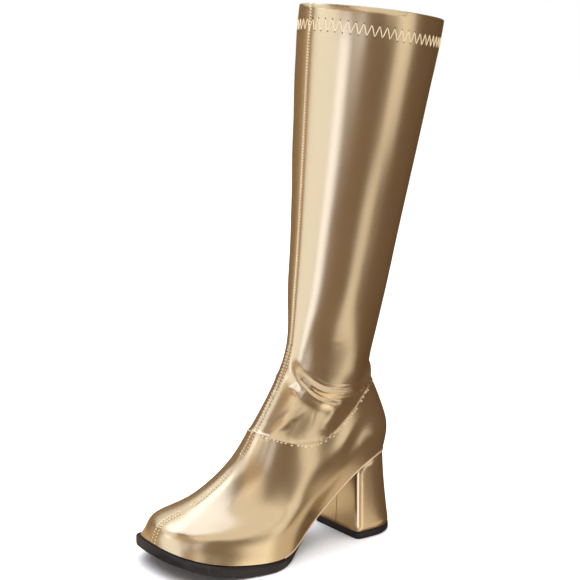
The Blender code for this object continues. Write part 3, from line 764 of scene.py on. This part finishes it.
def shaft_seam(tree):
    """The shaft's front seam: one line of slanted stitches, like a fine chain."""
    places = [p for p in smooth_line(metres(FRONT_LINE), SHAFT_PITCH * MM) if p[2] > SHAFT_SEAM_END * MM]
    sew(tree, places, "shaft_seam", SHAFT_STITCH, SHAFT_STITCH_TURN)


def foot_seam(tree):
    """The foot's front seam: a row of fine stitches on each side of the join."""
    places = [p for p in smooth_line(metres(FRONT_LINE), FOOT_PITCH * MM) if p[2] < SHAFT_SEAM_END * MM]
    frames = line_frames(tree, places)
    for side, name in ((-1.0, "foot_seam_inner"), (1.0, "foot_seam_outer")):
        shifted = [point + normal.cross(along) * side * FOOT_ROW_OFFSET * MM for point, along, normal in frames]
        sew(tree, shifted, name, FOOT_STITCH)


def quarter_line(edge_points):
    """The foot panel's top edge as one closed line, in order round the ankle."""
    x, y = PANEL_MIDDLE
    return sorted(edge_points, key=lambda p: math.atan2(p.y - y * MM, p.x - x * MM))


def quarter_seam(tree, edge_points):
    """The quarter seam: stitches just under the foot panel's top edge."""
    line = quarter_line(edge_points)
    line = [(a + b * 2 + c) / 4 for a, b, c in zip(line[-1:] + line, line, line[1:] + line[:1])]
    places = smooth_line(line + line[:1], QUARTER_PITCH * MM)[:-1]
    below = []
    for point, along, normal in line_frames(tree, places):
        down = normal.cross(along)
        below.append(point + (down if down.z < 0 else -down) * QUARTER_DROP * MM)
    sew(tree, below, "quarter", QUARTER_STITCH)


def bottom_edge():
    """The points of the edge between the upper's outer wall and its underside, behind the ball."""
    bm = bmesh.new()
    bm.from_mesh(NODES["upper"].data)
    bmesh.ops.remove_doubles(bm, verts=bm.verts, dist=MERGE_DISTANCE)
    bm.normal_update()
    rim = set()
    for edge in bm.edges:
        if not edge.is_manifold:
            continue
        under, side = sorted(edge.link_faces, key=lambda face: face.normal.z)
        middle = (edge.verts[0].co + edge.verts[1].co) / 2
        outward = Vector((middle.x, max(middle.y, 0.0) * 0.5, 0.0))
        turned = under.normal.z < -0.6 < side.normal.z and edge.calc_face_angle() > BOTTOM_EDGE_ANGLE
        placed = ROLL_FRONT * MM < middle.y and middle.z < ROLL_TOP * MM
        if turned and placed and side.normal.dot(outward) > 0:
            rim.update(tuple(v.co) for v in edge.verts)
    bm.free()
    return [Vector(p) for p in rim]


def bottom_roll(tree):
    """The turned bottom edge of the upper, from the waist round the heel to the other waist, in pale gold that is
    a painted highlight.
    """
    line = sorted(bottom_edge(), key=lambda p: math.atan2(p.x, -(p.y - ROLL_MIDDLE * MM)) % math.tau)
    places = smooth_line(line, ROLL_PITCH * MM)
    seats = [seat_of(*at, ROLL_LIFT * MM) for at in line_frames(tree, places)]
    pattern = thread_stitch(ROLL_PIECE * MM, ROLL_RADIUS * MM, 0.0)
    spread_copies(pattern, seats, "bottom_edge_roll", PAINTED_HIGHLIGHT_EDGE_GOLD)


def hem_zigzag(tree):
    """The collar's zigzag: threads between needle holes above and below the hem's line."""
    outer = metres(HEM_LINE)
    inner = [Vector((-p.x, p.y, p.z)) for p in outer[-2:0:-1]]
    places = smooth_line(outer + inner + outer[:1], ZIGZAG_PITCH / 2 * MM)
    knots = []
    for i, (point, along, normal) in enumerate(line_frames(tree, places)):
        up = normal.cross(along)
        up = up if up.z > 0 else -up
        knots.append(point + up * (ZIGZAG_HEIGHT / 2 * MM) * (1 if i % 2 else -1))
    points, normals = on_skin(tree, knots)
    seats, holes = [], []
    for a, b, normal in zip(points, points[1:], normals):
        middle = (a + b) / 2
        if middle.x < 0 and abs(middle.y - ZIP_AT_COLLAR * MM) < ZIP_CLEARANCE * MM:
            continue
        seats.append(seat_of(middle, b - a, normal, ZIGZAG_LIFT * MM))
        holes.append(seat_of(a, b - a, normal, 0.0))
    leg = (points[1] - points[0]).length
    spread_copies(thread_stitch(leg, ZIGZAG_RADIUS * MM, ZIGZAG_DIP * MM), seats, "collar_zigzag", THREAD)
    spread_copies(needle_hole(ZIGZAG_HOLE * MM), holes, "collar_needle_holes", HOLE_SHADE)


# ---------------------------------------------------------------- sole, heel, insole

def make_solid(node, name, material, crease):
    """A finer copy of a hard CAD solid, with its sharp edges just softened."""
    piece = merged_copy(node, name)
    crease_sharp_edges(piece, crease)
    refine(piece)
    finish_piece(piece, "boot", (material,))
    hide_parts(node)


def make_heel():
    """The covered heel, with the join of its cover down the middle of the breast."""
    piece = merged_copy("heel_block", "heel_cover")
    crease_sharp_edges(piece, 0.72)
    refine(piece)
    low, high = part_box("heel_block")
    middle = (low[0] + high[0]) / 2
    ahead = Vector((0.0, 1.0, 0.0))
    ends = []
    for level in JOIN_LEVELS:
        _, place, _, _ = piece.ray_cast(Vector((middle, low[1] - 0.1, level * MM)), ahead)
        ends.append(place)
    slope = math.atan2(ends[1].y - ends[0].y, ends[1].z - ends[0].z)
    deselect()
    bpy.ops.mesh.primitive_cube_add(size=1.0, location=(ends[0] + ends[1]) / 2, rotation=(-slope, 0.0, 0.0),
                                    scale=tuple(size * MM for size in JOIN_SIZE))
    cutter = bpy.context.object
    apply_modifier(piece, "BOOLEAN", object=cutter, operation="DIFFERENCE", solver="EXACT")
    bpy.data.objects.remove(cutter)
    finish_piece(piece, "boot", (HEEL_GOLD,))
    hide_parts("heel_block")


def make_bevelled(node, name, width, body):
    """A copy of a small metal solid with its edges rounded."""
    piece = merged_copy(node, name)
    edit_all(piece)
    bpy.ops.mesh.dissolve_limited(angle_limit=math.radians(2))
    leave_edit_mode()
    apply_modifier(piece, "BEVEL", width=width * MM, segments=2, angle_limit=METAL_SHARP)
    finish_piece(piece, body, (BRASS,), METAL_SHARP)
    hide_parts(node)


# ---------------------------------------------------------------- zip

def zip_middle():
    """Points up the middle of the coil. Each of the CAD strip's sections has four corners."""
    places = {tuple(round(c, 6) for c in v.co) for v in NODES["zip_coil"].data.vertices}
    places = [Vector(p) for p in sorted(places, key=lambda p: p[2])]
    return [sum(places[i:i + 4], Vector()) / 4 for i in range(0, len(places) - 3, 4)]


def zip_teeth(tree):
    """The closed coil: two rows of rounded loops that meet in the middle."""
    places = [Vector(p) for p in smooth_line(zip_middle(), TOOTH_PITCH * MM)]
    seats = []
    for before, place, after in zip(places, places[1:], places[2:]):
        up = (after - before).normalized()
        _, normal, _, _ = tree.find_nearest(place)
        across = up.cross(normal).normalized()
        out = across.cross(up).normalized()
        for side in (-1.0, 1.0):
            centre = place + across * side * TOOTH_OFFSET * MM + out * TOOTH_LIFT * MM
            seats.append(seat_of(centre, across, out, 0.0, side * TOOTH_TURN))
    pattern = thread_stitch(TOOTH_LENGTH * MM, TOOTH_RADIUS * MM, TOOTH_DIP * MM)
    piece = spread_copies(pattern, seats, "zip_teeth", COIL)
    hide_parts("zip_coil")


# ---------------------------------------------------------------- putting the boot together

skin, edge_points = make_upper()
make_solid("outsole", "sole_unit", SOLE, 0.8)
make_heel()
make_solid("heel_tip", "heel_top_piece", TIP, 0.85)
make_solid("insole", "insole_sock", SOCK, 0.6)
make_bevelled("zip_slider", "slider_body", 0.18, "boot")
make_bevelled("zip_pull", "pull_tab", 0.15, "pull")
zip_teeth(skin)
for slot in NODES["zip_tape"].material_slots:
    slot.material = TAPE
shaft_seam(skin)
foot_seam(skin)
quarter_seam(skin, edge_points)
bottom_roll(skin)
hem_zigzag(skin)


# ---------------------------------------------------------------- camera, floor and light

CAMERA_PLACE = Vector((0.9032, -0.7632, 0.4332))
CAMERA_AHEAD = Vector((-0.78320209, 0.59279708, -0.18757961))
CAMERA_ROLL = math.radians(1.14)
SENSOR_WIDTH = 36.0
LENS_PER_WIDTH = 1414.86 / 580.0
LEVEL_RIGHT = Vector((-CAMERA_AHEAD.y, CAMERA_AHEAD.x, 0.0)).normalized() * -1.0
AIM = Vector((0.0, -0.03, 0.22))
LIGHT_DISTANCE = 2.4
FLOOR_SIZE = 16.0
GLOW_DEPTH = 0.01
FLOOR_LIGHT_ENERGY = 4.3
FLOOR_LIGHT_SPREAD = math.radians(90)
DIM_WARM = (0.135, 0.080, 0.042, 1.0)
WHITE = (1.0, 1.0, 1.0)
WARM = (1.0, 0.74, 0.50)
AMBER = (1.0, 0.80, 0.56)
CREAM = (1.0, 0.90, 0.78)
PALE = (0.80, 0.87, 1.0)
COOL = (0.67, 0.75, 1.0)

# Softboxes as seen from the boot: degrees right of the camera and above level, spread across and up in
# degrees, radiance, colour.
SOFTBOXES = (
    ("key_softbox", -22.0, -5.0, 20.0, 40.0, 2.0, COOL),
    ("key_corner", 3.0, 9.0, 16.0, 14.0, 1.1, COOL),
    ("left_softbox", -63.0, 1.0, 56.0, 44.0, 1.14, PALE),
    ("left_edge", -106.0, -3.0, 28.0, 36.0, 0.33, AMBER),
    ("left_back", -145.0, -3.0, 48.0, 36.0, 0.16, WARM),
    ("right_strip", 67.0, 3.0, 24.0, 26.0, 0.88, WHITE),
    ("right_strip_low", 55.0, -25.0, 18.0, 28.0, 0.85, WHITE),
    ("toe_side", 52.0, 20.0, 26.0, 16.0, 0.6, WHITE),
    ("front_glow", 12.0, -8.0, 44.0, 40.0, 0.05, WARM),
    ("overhead", -135.0, 74.0, 62.0, 62.0, 1.7, COOL),
    ("high_left", -122.0, 40.0, 100.0, 36.0, 0.98, PALE),
    ("high_right", 50.0, 49.0, 80.0, 46.0, 0.72, WHITE),
    ("high_front", -25.0, 34.0, 60.0, 26.0, 0.34, WARM),
    ("below", 0.0, -62.0, 80.0, 50.0, 0.3, WARM),
)
# Glows of the floor: place, width and length in metres, radiance.
FLOOR_GLOWS = (
    ("glow_outer", (0.17, -0.17), 0.25, 0.50, 0.55),
    ("glow_inner", (-0.21, -0.14), 0.30, 0.30, 0.42),
)


def make_camera():
    """The camera that took the photo, as fitted to it."""
    data = bpy.data.cameras.new("camera")
    data.sensor_fit = "HORIZONTAL"
    data.sensor_width = SENSOR_WIDTH
    data.lens = SENSOR_WIDTH * LENS_PER_WIDTH
    camera = bpy.data.objects.new("camera", data)
    bpy.context.scene.collection.objects.link(camera)
    above = LEVEL_RIGHT.cross(CAMERA_AHEAD)
    right = LEVEL_RIGHT * math.cos(CAMERA_ROLL) + above * math.sin(CAMERA_ROLL)
    up = above * math.cos(CAMERA_ROLL) - LEVEL_RIGHT * math.sin(CAMERA_ROLL)
    turn = Matrix((right, up, -CAMERA_AHEAD)).transposed().to_4x4()
    turn.translation = CAMERA_PLACE
    camera.matrix_world = turn
    bpy.context.scene.camera = camera


def area_light(name, wide, tall, radiance, colour):
    """A rectangular light of a given radiance."""
    data = bpy.data.lights.new(name, "AREA")
    data.shape = "RECTANGLE"
    data.size, data.size_y = wide, tall
    data.energy = radiance * math.pi * wide * tall
    data.color = colour
    lamp = bpy.data.objects.new(name, data)
    bpy.context.scene.collection.objects.link(lamp)
    return lamp


def softbox(name, across, rise, wide, tall, radiance, colour):
    """A softbox at a direction from the boot, turned towards it."""
    back = Vector((CAMERA_PLACE.x, CAMERA_PLACE.y, 0.0)).normalized()
    turn, lift = math.radians(across), math.radians(rise)
    away = (back * math.cos(turn) + LEVEL_RIGHT * math.sin(turn)) * math.cos(lift)
    away.z = math.sin(lift)
    sides = [2 * LIGHT_DISTANCE * math.tan(math.radians(spread / 2)) for spread in (wide, tall)]
    lamp = area_light(name, *sides, radiance, colour)
    lamp.location = AIM + away * LIGHT_DISTANCE
    lamp.rotation_euler = (-away).to_track_quat("-Z", "Y").to_euler()


def floor_glow(name, place, wide, long, radiance):
    """Light that a white floor would send back up. It lies just under the floor, which lets it pass."""
    lamp = area_light(name, wide, long, radiance, CREAM)
    lamp.location = (*place, -GLOW_DEPTH)
    lamp.rotation_euler = (math.pi, 0.0, 0.0)


def make_floor_light():
    """Wide even light that the floor shows and that polished surfaces don't mirror."""
    data = bpy.data.lights.new("floor_light", "SUN")
    data.energy = FLOOR_LIGHT_ENERGY
    data.angle = FLOOR_LIGHT_SPREAD
    lamp = bpy.data.objects.new("floor_light", data)
    lamp.visible_glossy = False
    bpy.context.scene.collection.objects.link(lamp)


def make_floor():
    """A plain pale floor that isn't mirrored in the boot and that lets the glows' light pass."""
    deselect()
    bpy.ops.mesh.primitive_plane_add(size=FLOOR_SIZE, location=(0.0, 0.0, 0.0))
    floor = bpy.context.object
    floor.name = "floor"
    made = Finish("pale_floor", Roughness=0.6, Base_Color=(0.86, 0.86, 0.85, 1.0))
    floor.data.materials.append(made.material)
    floor.visible_glossy = False
    floor.visible_shadow = False


def make_world():
    """Dim warm surroundings that are white where the camera looks past the floor."""
    world = bpy.data.worlds.new("studio")
    bpy.context.scene.world = world
    world.use_nodes = True
    tree = world.node_tree
    dim = tree.nodes["Background"]
    dim.inputs["Color"].default_value = DIM_WARM
    pale = tree.nodes.new("ShaderNodeBackground")
    pale.inputs["Color"].default_value = (1.0, 1.0, 1.0, 1.0)
    path = tree.nodes.new("ShaderNodeLightPath")
    mix = tree.nodes.new("ShaderNodeMixShader")
    tree.links.new(path.outputs["Is Camera Ray"], mix.inputs[0])
    tree.links.new(dim.outputs[0], mix.inputs[1])
    tree.links.new(pale.outputs[0], mix.inputs[2])
    tree.links.new(mix.outputs[0], tree.nodes["World Output"].inputs["Surface"])


make_camera()
make_floor()
make_world()
for row in SOFTBOXES:
    softbox(*row)
for row in FLOOR_GLOWS:
    floor_glow(*row)
make_floor_light()
bpy.context.scene.view_settings.view_transform = "Standard"
